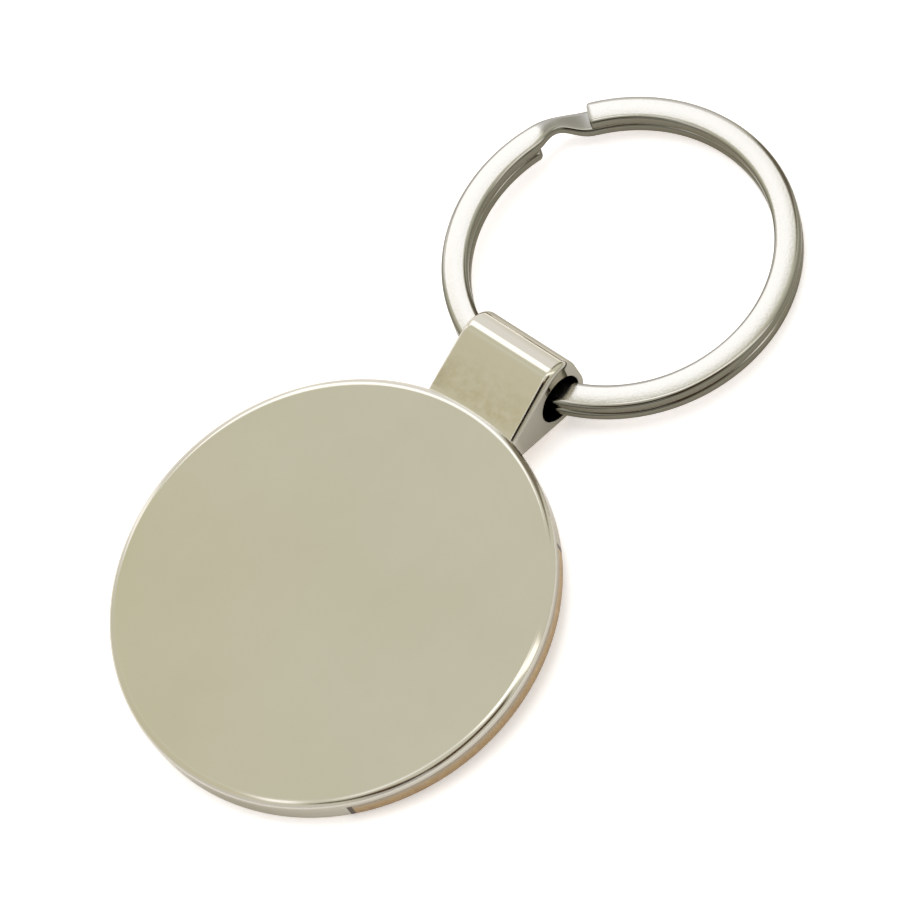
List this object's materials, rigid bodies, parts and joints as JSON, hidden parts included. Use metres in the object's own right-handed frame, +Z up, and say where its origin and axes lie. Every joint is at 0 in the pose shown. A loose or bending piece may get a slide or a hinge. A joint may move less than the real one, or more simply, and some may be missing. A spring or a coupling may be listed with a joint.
{
  "type": "keyring",
  "caption": "Round metal key tag with a wood inlay under its plate, a bored wedge-shaped lug and a two-turn split ring that swings freely in the lug",
  "frame": {"origin": "centre of the wood inlay's underside, which is the plate's lowest flat", "axes": "+Y along the tag from the plate to the lug and ring, +Z up out of the bare metal face, +X to the right seen from above with the ring away from the viewer"},
  "size_m": [0.04, 0.0752, 0.0084],
  "materials": {
    "polished_nickel": "polished nickel plating with a warm grey tone, faintly clouded",
    "satin_nickel": "satin nickel plating with a fine orange-peel texture",
    "pale_wood": "pale tan hardwood, sanded and thinly oiled",
    "glue": "thin film of clear brown contact glue"
  },
  "bodies": {
    "tag": {"tag_body": "polished_nickel", "wood_inlay": "pale_wood", "glue_sheet": "glue"},
    "ring": {"split_ring": "satin_nickel"}
  },
  "joints": [
    {"name": "ring_swing", "type": "hinge", "parent": "tag", "child": "ring", "pos_m": [0, 0.02525, 0.00082], "axis": [1, 0, 0], "range_deg": [-159, 167]}
  ]
}
